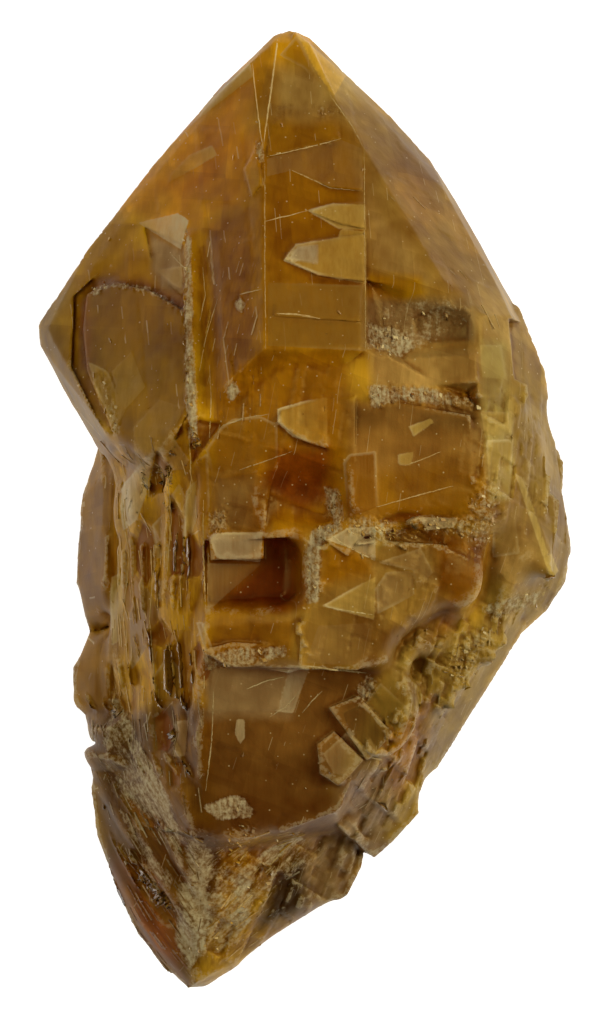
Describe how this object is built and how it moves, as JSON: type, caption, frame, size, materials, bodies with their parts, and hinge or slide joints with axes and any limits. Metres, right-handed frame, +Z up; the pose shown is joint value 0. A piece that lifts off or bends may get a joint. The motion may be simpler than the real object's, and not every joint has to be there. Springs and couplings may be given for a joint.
{
  "type": "orchid calcite crystal",
  "caption": "Honey-coloured calcite crystal with a pointed faceted end, stepped cleavage ledges and a splintered foot, lying on a flat cleavage face.",
  "frame": {"origin": "middle of the outline on the flat cleavage face that the crystal rests on", "axes": "+Y along the crystal towards its pointed end, +X to the right of the pictured face, +Z up out of the pictured face"},
  "size_m": [0.0553, 0.1, 0.0388],
  "materials": {
    "honey_calcite": "translucent satin to vitreous cleavage faces"
  },
  "bodies": {
    "root": {"crystal": "honey_calcite"}
  },
  "joints": []
}
